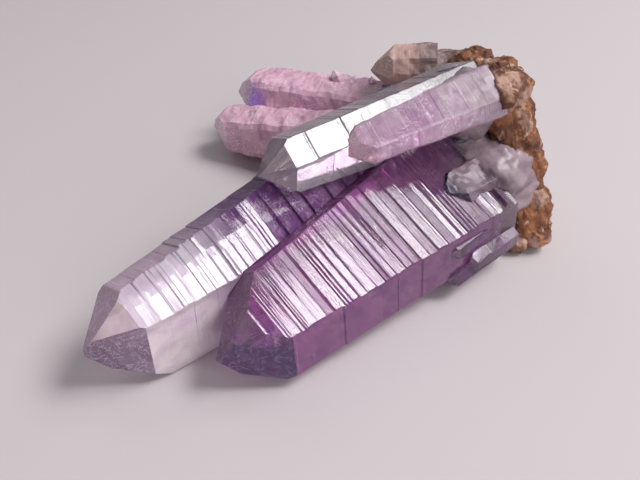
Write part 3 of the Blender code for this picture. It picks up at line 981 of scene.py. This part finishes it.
def quartz_growth() -> bpy.types.NodeTree:
    """The colour zones, fine lines and wisps of a crystal, made once for all finishes."""
    known = bpy.data.node_groups.get("quartz_growth")
    if known:
        return known
    inputs = dict.fromkeys(("Vector", "Core Place"), SOCKET_VECTOR)
    inputs |= dict.fromkeys(("Tint", "Root", "Cloud", "Core"), SOCKET_COLOUR)
    inputs |= dict.fromkeys(
        ("Tip Mask", "Painted Tip Light", "Root Start", "Root Blend", "Root Haze", "Cloud Share",
         "Core Radius", "Wisp Share", "Roughness", "Unevenness"), SOCKET_FLOAT)
    bench = GroupBench("quartz_growth", inputs, PATTERN_OUTPUTS)
    given = bench.start.outputs
    place = given["Vector"]
    tip = given["Tip Mask"]

    # The root end sets in along the axis, with an edge that wanders.
    split = bench.tree.nodes.new("ShaderNodeSeparateXYZ")
    bench.join(place, split.inputs[0])
    wander = bench.noise(place, scale=0.25, detail=2.0)
    depth = bench.times(split.outputs["X"], -1.0)
    depth = bench.plus(depth, bench.times(wander, 6.0))
    depth = bench.minus(depth, bench.plus(given["Root Start"], 3.0))
    root_share = bench.math("DIVIDE", depth, given["Root Blend"], clamp=True)

    # Patches of denser colour, and painted light: the tip's faces paler towards their upper edge,
    # where light from above falls.
    clouds = bench.noise(place, scale=0.3, detail=4.0, roughness=0.6, distortion=0.6)
    patches = bench.span(clouds, 0.42, 0.66)
    patch_share = bench.times(patches, given["Cloud Share"])
    upper = bench.span(bench.plus(split.outputs["Z"], wander), 0.5, 3.5)
    tip_light_share = bench.times(bench.times(upper, tip), given["Painted Tip Light"])
    colour = bench.mix(tip_light_share, given["Tint"], opaque(PAINTED_TIP_LIGHT))
    colour = bench.mix(root_share, colour, given["Root"])
    colour = bench.mix(patch_share, colour, given["Cloud"])

    # The core of stronger colour, with an uneven edge.
    off_core = bench.distance(place, given["Core Place"])
    off_core = bench.plus(off_core, bench.times(clouds, 1.5))
    edge = given["Core Radius"]
    core_share = bench.span(off_core, edge, bench.times(edge, 0.4))
    colour = bench.mix(core_share, colour, given["Core"])

    # Pale threads and specks inside, thicker in the tip.
    ridge = bench.noise(place, scale=0.5, detail=4.0, roughness=0.6, distortion=2.2)
    ridge = bench.math("ABSOLUTE", bench.minus(ridge, 0.5))
    threads = bench.span(ridge, 0.025, 0.003)
    sparse = bench.span(bench.noise(place, scale=0.35, detail=2.0), 0.44, 0.58)
    sparse = bench.math("MAXIMUM", sparse, bench.times(tip, 0.8))
    specks = bench.span(bench.noise(place, scale=4.5, detail=3.0, roughness=0.7), 0.66, 0.74)
    wisps = bench.plus(bench.times(threads, sparse), specks, clamp=True)
    more = bench.plus(tip, 1.0)
    wisps = bench.times(wisps, bench.times(given["Wisp Share"], more), clamp=True)
    colour = bench.mix(wisps, colour, opaque(WISP_TINT))
    bench.join(colour, bench.finish.inputs["Color"])

    # The root end and the wisps are less glossy than the faces.
    haze = bench.times(root_share, given["Root Haze"])
    rough = bench.plus(given["Roughness"], haze)
    rough = bench.plus(rough, bench.times(wisps, 0.25))
    bench.join(rough, bench.finish.inputs["Roughness"])

    # The finest lines cross the prism alone; small dents are everywhere.
    lines = bench.noise(bench.stretch(place, (6.0, 0.12, 0.12)), scale=1.0, detail=3.0)
    not_tip = bench.minus(1.0, tip)
    height = bench.times(lines, not_tip)
    dents = bench.noise(place, scale=1.4, detail=5.0, roughness=0.6)
    height = bench.plus(height, bench.times(dents, given["Unevenness"]))
    bench.join(height, bench.finish.inputs["Height"])
    return bench.tree


def rock_material() -> bpy.types.Material:
    """Rust-stained rock: orange and brown crusts, cream nodules and black pits."""
    paint = NodeBench("rusty_rock")
    place = paint.add("ShaderNodeTexCoord")
    crust = paint.group(rock_crust())
    paint.link(place, "Object", crust, "Vector")
    paint.link(paint.attribute("tint_and_face_light"), "Color", crust, "Tint")
    paint.cover(crust, strength=0.8, depth=CRUST_DEPTH)
    return paint.material


def rock_crust() -> bpy.types.NodeTree:
    """The crusts, stains and pits of the rock."""
    inputs = {"Vector": SOCKET_VECTOR, "Tint": SOCKET_COLOUR}
    bench = GroupBench("rock_crust", inputs, PATTERN_OUTPUTS)
    place = bench.stretch(bench.start.outputs["Vector"], (1.0 / MM,) * 3)
    broad = bench.noise(place, scale=0.22, detail=4.0, distortion=0.8)
    middle = bench.noise(place, scale=0.7, detail=5.0, roughness=0.65)
    fine = bench.noise(place, scale=2.6, detail=5.0, roughness=0.7)
    tint_and_face_light = bench.start.outputs["Tint"]
    colour = bench.mix(bench.span(broad, 0.42, 0.6), tint_and_face_light, opaque(BROWN_CRUST))
    colour = bench.mix(bench.span(middle, 0.54, 0.66), colour, opaque(ORANGE_CRUST))
    pale = bench.noise(place, scale=0.5, detail=4.0, roughness=0.6, distortion=0.5)
    colour = bench.mix(bench.span(pale, 0.56, 0.64), colour, opaque(PALE_CRUST))
    colour = bench.mix(bench.span(fine, 0.42, 0.32), colour, opaque(BLACK_PIT))
    bench.join(colour, bench.finish.inputs["Color"])
    rough = bench.plus(bench.times(fine, 0.5), 0.45)
    bench.join(rough, bench.finish.inputs["Roughness"])
    height = bench.plus(middle, bench.times(fine, 0.7))
    bench.join(height, bench.finish.inputs["Height"])
    return bench.tree


SLATE: Colour = (0.34, 0.23, 0.32)
INDIGO: Colour = (0.17, 0.10, 0.32)
LILAC: Colour = (0.82, 0.66, 0.80)
PURPLE: Colour = (0.64, 0.26, 0.58)
BEIGE: Colour = (0.98, 0.90, 0.88)
RUST: Colour = (0.24, 0.088, 0.038)
CREAM: Colour = (0.44, 0.26, 0.20)

# Painted light and shade: each face of the great point gets its own tint, lighter or darker by
# how light falls on it, over the quartz's colour.
GREAT_FINISH = QuartzFinish(
    name="great_point_quartz",
    prism=(PURPLE, (0.44, 0.17, 0.38), PURPLE, PURPLE, LILAC, LILAC),
    tip=(SLATE, (0.44, 0.26, 0.40), INDIGO, INDIGO, SLATE, SLATE),
    lump=LILAC, root=(0.52, 0.40, 0.46), cloud=(0.34, 0.12, 0.42), cloud_share=0.7,
    root_start=31.0, root_blend=5.0, wisp_share=0.4, painted_tip_light=0.5, clarity=0.8,
    roughness=0.05, root_haze=0.25, line_height=0.3, unevenness=0.15,
    absorption=(0.60, 0.14, 0.58), density=80.0)
# Painted light and shade: the left point's faces each get their own lighter or darker tint, over
# the quartz's colour.
LEFT_FINISH = replace(
    GREAT_FINISH, name="left_point_quartz",
    prism=((0.74, 0.58, 0.68), (0.90, 0.82, 0.90), BEIGE, BEIGE, CLEAR, CLEAR),
    tip=((0.56, 0.40, 0.48), (0.96, 0.80, 0.74), (0.26, 0.17, 0.28), SLATE, SLATE, SLATE),
    root=(0.20, 0.07, 0.24), cloud=(0.60, 0.38, 0.60), cloud_share=0.4, root_start=8.5,
    root_blend=8.0, painted_tip_light=0.25, clarity=0.6, root_haze=0.0, density=30.0)
# Painted light and shade: the upper point's faces each get their own lighter or darker tint, over
# the quartz's colour.
UPPER_FINISH = replace(
    GREAT_FINISH, name="upper_point_quartz",
    prism=((0.30, 0.20, 0.28), CLEAR, CLEAR, CLEAR, CLEAR, CLEAR),
    tip=((0.44, 0.33, 0.39), (0.64, 0.54, 0.56), (0.70, 0.62, 0.66), CLEAR, SLATE, SLATE),
    root=(0.80, 0.74, 0.80), cloud=(0.5, 0.38, 0.5), cloud_share=0.3, root_start=20.0,
    painted_tip_light=0.0, clarity=0.8, density=25.0, roughness=0.02)
ROSY_FINISH = replace(
    GREAT_FINISH, name="rosy_point_quartz", prism=((0.68, 0.48, 0.60),) * 6,
    tip=((0.98, 0.68, 0.74),) * 6, root=(0.70, 0.56, 0.62), cloud=(0.42, 0.20, 0.42),
    cloud_share=0.6, root_start=8.0, root_blend=5.0, painted_tip_light=0.0, clarity=0.55,
    density=40.0, roughness=0.14, unevenness=0.4, wisp_share=0.9)
SPLINTER_FINISH = replace(
    GREAT_FINISH, name="splinter_quartz", prism=((0.20, 0.09, 0.18),) * 6,
    tip=((0.30, 0.18, 0.28),) * 6, root_start=7.0, root_blend=3.0, painted_tip_light=0.0)
MILKY_FINISH = replace(
    GREAT_FINISH, name="milky_root_quartz", prism=((0.27, 0.19, 0.23),) * 6,
    tip=((0.02, 0.012, 0.05),) * 6, lump=(0.42, 0.31, 0.35), root=(0.46, 0.38, 0.47),
    cloud=(0.15, 0.09, 0.14), cloud_share=0.6, root_start=40.0, painted_tip_light=0.0, clarity=0.35,
    roughness=0.42, unevenness=0.8, wisp_share=0.15, density=40.0, core=(0.02, 0.012, 0.05),
    core_place=(2.5, 0.0, 0.0), core_radius=6.5)
REAR_FINISH = replace(
    GREAT_FINISH, name="rear_point_quartz", prism=((0.84, 0.50, 0.63),) * 6,
    tip=((0.90, 0.62, 0.76),) * 6, lump=(0.5, 0.34, 0.42), root=(0.54, 0.34, 0.42),
    cloud=(0.46, 0.20, 0.36), cloud_share=0.5, root_start=12.0, painted_tip_light=0.0, clarity=0.3,
    roughness=0.22, unevenness=0.5, wisp_share=0.8, density=20.0, core=(0.46, 0.24, 0.80),
    core_place=(-1.0, 3.4, 0.8), core_radius=4.4)
BROWN_FINISH = replace(
    GREAT_FINISH, name="brown_quartz", prism=((0.60, 0.38, 0.34),) * 6,
    tip=((0.62, 0.40, 0.36),) * 6, lump=(0.2, 0.14, 0.13), root=(0.17, 0.11, 0.11),
    cloud=(0.34, 0.2, 0.18), cloud_share=0.45, root_start=2.5, root_blend=2.5, painted_tip_light=0.0,
    clarity=0.25, roughness=0.38, unevenness=0.7, absorption=(0.5, 0.4, 0.36), density=40.0)


def add_piece(body: bmesh.types.BMesh, name: str) -> bpy.types.Object:
    """Makes a piece of a mesh in the layout: moves it over the footprint, in metres.

    Args:
        body: The mesh, in mm; it is used up.
        name: The piece's name.

    Returns:
        The new object, at the origin.
    """
    bmesh.ops.translate(body, verts=body.verts[:], vec=-Vector(FOOTPRINT_CENTRE))
    bmesh.ops.scale(body, verts=body.verts[:], vec=(MM, MM, MM))
    mesh = bpy.data.meshes.new(name)
    body.to_mesh(mesh)
    body.free()
    for _ in range(SURFACE_COUNT):
        mesh.materials.append(None)
    piece = bpy.data.objects.new(name, mesh)
    bpy.context.scene.collection.objects.link(piece)
    return piece


def carve(piece: bpy.types.Object, others: list[bmesh.types.BMesh], carving: Carving) -> None:
    """Joins bodies to a piece or cuts them from it, and applies the result.

    Args:
        piece: The piece that changes.
        others: The other bodies, in mm; they are used up.
        carving: Whether they are joined to it or cut from it.
    """
    if not others:
        return
    tools = bpy.data.collections.new("tools")
    bpy.context.scene.collection.children.link(tools)
    things = []
    for index, body in enumerate(others):
        thing = add_piece(body, f"{piece.name}_tool_{index}")
        bpy.context.scene.collection.objects.unlink(thing)
        tools.objects.link(thing)
        things.append(thing)
    boolean = piece.modifiers.new("carve", "BOOLEAN")
    boolean.operation = carving.value
    boolean.operand_type = "COLLECTION"
    boolean.collection = tools
    boolean.solver = "EXACT"
    depsgraph = bpy.context.evaluated_depsgraph_get()
    carved = bpy.data.meshes.new_from_object(piece.evaluated_get(depsgraph))
    old = piece.data
    piece.modifiers.clear()
    piece.data = carved
    carved.name = piece.name
    bpy.data.meshes.remove(old)
    for thing in things:
        bpy.data.meshes.remove(thing.data)
    bpy.data.collections.remove(tools)


def dress(piece: bpy.types.Object, material: bpy.types.Material, face_tints_and_light: tuple[Colour, ...]
          ) -> None:
    """Writes each face's tint, painted light and shade included, as an attribute and gives the
    piece its one material.

    Args:
        piece: The piece, whose material numbers are its kinds of surface.
        material: The finish that reads the attributes.
        face_tints_and_light: The tint of each kind of surface, with painted light and shade where
            a finish gives its faces different tints.
    """
    mesh = piece.data
    surfaces = [polygon.material_index for polygon in mesh.polygons]
    tint_and_face_light = mesh.attributes.new("tint_and_face_light", "FLOAT_COLOR", "FACE")
    for index, surface in enumerate(surfaces):
        tint_and_face_light.data[index].color = opaque(face_tints_and_light[surface])
    tip_mask = mesh.attributes.new("tip_mask", "FLOAT", "FACE")
    for index, surface in enumerate(surfaces):
        tip_mask.data[index].value = float(TIP_OFFSET <= surface < LUMP_SURFACE)
    for polygon in mesh.polygons:
        polygon.material_index = 0
    mesh.materials.clear()
    mesh.materials.append(material)


@dataclass
class CrystalPiece:
    """One visual piece of quartz: points and lumps in one solid, cut clear of others.

    Attributes:
        name: The piece's name.
        finish: How its quartz looks.
        points: The points in it; the first one's axis guides the finish.
        lumps: The lumps in it.
        clear_of: The points that it is cut back from.
        node: The CAD node that it stands for.
        slot: The record's material slot; it is not used.
    """

    name: str
    finish: QuartzFinish
    points: tuple[PointShape, ...]
    lumps: tuple[Lump, ...] = ()
    clear_of: tuple[PointShape, ...] = ()
    node: str = "crystal_cluster"
    slot: str = "amethyst"

    def build(self) -> bpy.types.Object:
        """Models the piece, dresses it and hangs it on the frame."""
        bodies = [PointMaker(shape).body() for shape in self.points]
        bodies += [lump.body() for lump in self.lumps]
        piece = add_piece(bodies[0], self.name)
        carve(piece, bodies[1:], Carving.JOIN)
        plain = [replace(shape, striations={}) for shape in self.clear_of]
        carve(piece, [PointMaker(shape, CLEARANCE).body() for shape in plain], Carving.CUT)
        dress(piece, self.finish.material(self.points[0]), self.finish.face_tints_and_light())
        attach(piece, BODY)
        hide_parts(self.node)
        LOG.info("%s: %d faces", self.name, len(piece.data.polygons))
        return piece


CRYSTALS = (
    CrystalPiece("great_point", GREAT_FINISH, (GREAT_POINT,)),
    CrystalPiece("left_point", LEFT_FINISH, (LEFT_POINT,), clear_of=(GREAT_POINT,)),
    CrystalPiece("upper_point", UPPER_FINISH, (UPPER_POINT,), clear_of=(GREAT_POINT, LEFT_POINT)),
    CrystalPiece("rosy_point", ROSY_FINISH, (ROSY_POINT,), clear_of=(UPPER_POINT, GREAT_POINT)),
    CrystalPiece(
        "root_mass", MILKY_FINISH, (BEAKED_POINT, DARK_POINT) + YOUNG_POINTS,
        lumps=(LOWER_ROOT, UPPER_ROOT, LEFT_ROOT),
        clear_of=(GREAT_POINT, LEFT_POINT, UPPER_POINT, ROSY_POINT)),
    CrystalPiece("flank_splinters", SPLINTER_FINISH, SPLINTERS, clear_of=(GREAT_POINT,)),
    CrystalPiece(
        "rear_points", REAR_FINISH, (REAR_POINT, LOW_POINT) + REAR_SPECKS, lumps=(REAR_ROOT,),
        clear_of=(GREAT_POINT, LEFT_POINT), node="rear_crystal", slot="pale_amethyst"),
    CrystalPiece(
        "brown_points", BROWN_FINISH, (BROWN_POINT, BROWN_ROOT), clear_of=(REAR_POINT,),
        node="brown_crystal", slot="smoky_quartz"))


@dataclass
class MatrixRock:
    """The thin plate of rock with the knobs on its rim and a socket round each root."""

    plate: Lump = ROCK
    knobs: tuple[Lump, ...] = NODULES
    sockets: tuple[PointShape, ...] = (
        GREAT_POINT, LEFT_POINT, UPPER_POINT, ROSY_POINT, DARK_POINT, BEAKED_POINT, REAR_POINT,
        BROWN_POINT, BROWN_ROOT)

    def build(self) -> bpy.types.Object:
        """Models the rock, dresses it and hangs it on the frame."""
        piece = add_piece(self.standing(self.plate), "rock")
        carve(piece, [self.standing(knob) for knob in self.knobs], Carving.JOIN)
        plain = [replace(shape, striations={}) for shape in self.sockets]
        roots = [PointMaker(shape, SOCKET_CLEARANCE).body() for shape in plain]
        carve(piece, roots, Carving.CUT)
        dress(piece, rock_material(), (RUST,) * KNOB_SURFACE + (CREAM,))
        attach(piece, BODY)
        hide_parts("matrix")
        LOG.info("rock: %d faces", len(piece.data.polygons))
        return piece

    def standing(self, lump: Lump) -> bmesh.types.BMesh:
        """One lump of the rock, cut off flat where the specimen stands on it."""
        body = lump.body()
        cut_away(body, Vector((0.0, 0.0, 0.0)), Vector((0.0, 0.0, -1.0)), LUMP_SURFACE)
        return body


@dataclass(frozen=True)
class Panel:
    """A square light that looks at the specimen.

    Attributes:
        name: The light's name.
        towards: The way to it from the specimen.
        distance: How far away it is, in metres.
        size: Its side, in metres.
        power: Its power, in watts.
    """

    name: str
    towards: tuple[float, float, float]
    distance: float
    size: float
    power: float

    def hang(self) -> None:
        """Adds the light to the scene."""
        lamp = bpy.data.lights.new(self.name, "AREA")
        lamp.shape = "SQUARE"
        lamp.size = self.size
        lamp.energy = self.power
        light = bpy.data.objects.new(self.name, lamp)
        towards = Vector(self.towards)
        light.location = towards.normalized() * self.distance
        light.rotation_euler = towards.to_track_quat("Z", "Y").to_euler()
        bpy.context.scene.collection.objects.link(light)


PANELS = (
    Panel("window", towards=(0.57, -0.10, 0.82), distance=0.6, size=0.24, power=3.2),
    Panel("curtain", towards=(0.555, 0.25, 0.79), distance=0.62, size=0.17, power=0.55),
    Panel("sky", towards=(-0.35, 0.5, 0.8), distance=0.5, size=0.35, power=0.3),
    Panel("fill", towards=(0.45, -0.75, 0.42), distance=0.5, size=0.35, power=1.2))


@dataclass
class Studio:
    """A plain pale floor, soft light from the upper right and a camera close by.

    Attributes:
        camera_place: Where the camera is, in mm, in the layout.
        camera_tilt: Its turn from looking straight down, in degrees.
        focal_length: Its focal length, in mm.
        nearest: The nearest distance that it sees, in metres.
        panels: The lights.
        room_tint: The colour of the light all round.
        room_power: The strength of the light all round.
        floor_half_side: Half the floor's side, in metres.
        floor_tint: The floor's colour.
        floor_roughness: The floor's roughness.
    """

    camera_place: Place = (0.0, -80.576, 60.432)
    camera_tilt: float = 53.13
    focal_length: float = 39.375
    nearest: float = 0.005
    panels: tuple[Panel, ...] = PANELS
    room_tint: Colour = (0.96, 0.95, 1.0)
    room_power: float = 0.22
    floor_half_side: float = 1.5
    floor_tint: Colour = (0.50, 0.45, 0.465)
    floor_roughness: float = 0.9

    def build(self) -> None:
        """Sets up the floor, the lights, the surroundings and the camera."""
        self.floor()
        bpy.context.scene.view_settings.view_transform = "Standard"
        for panel in self.panels:
            panel.hang()
        world = bpy.data.worlds.new("soft_room")
        world.use_nodes = True
        shade = world.node_tree.nodes["Background"]
        shade.inputs["Color"].default_value = opaque(self.room_tint)
        shade.inputs["Strength"].default_value = self.room_power
        bpy.context.scene.world = world
        lens = bpy.data.cameras.new("camera")
        lens.lens = self.focal_length
        lens.clip_start = self.nearest
        camera = bpy.data.objects.new("camera", lens)
        camera.location = (Vector(self.camera_place) - Vector(FOOTPRINT_CENTRE)) * MM
        camera.rotation_euler = (math.radians(self.camera_tilt), 0.0, 0.0)
        bpy.context.scene.collection.objects.link(camera)
        bpy.context.scene.camera = camera

    def floor(self) -> None:
        """Lays a wide pale sheet that the specimen lies on."""
        body = bmesh.new()
        bmesh.ops.create_grid(body, x_segments=1, y_segments=1, size=self.floor_half_side)
        mesh = bpy.data.meshes.new("floor")
        body.to_mesh(mesh)
        body.free()
        floor = bpy.data.objects.new("floor", mesh)
        bpy.context.scene.collection.objects.link(floor)
        paint = NodeBench("pale_floor")
        paint.shader.inputs["Base Color"].default_value = opaque(self.floor_tint)
        paint.shader.inputs["Roughness"].default_value = self.floor_roughness
        mesh.materials.append(paint.material)


def main() -> None:
    """Builds the specimen and its studio."""
    logging.basicConfig(level=logging.INFO, format="%(name)s: %(message)s")
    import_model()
    for crystal in CRYSTALS:
        crystal.build()
    MatrixRock().build()
    Studio().build()


if __name__ == "__main__":
    main()
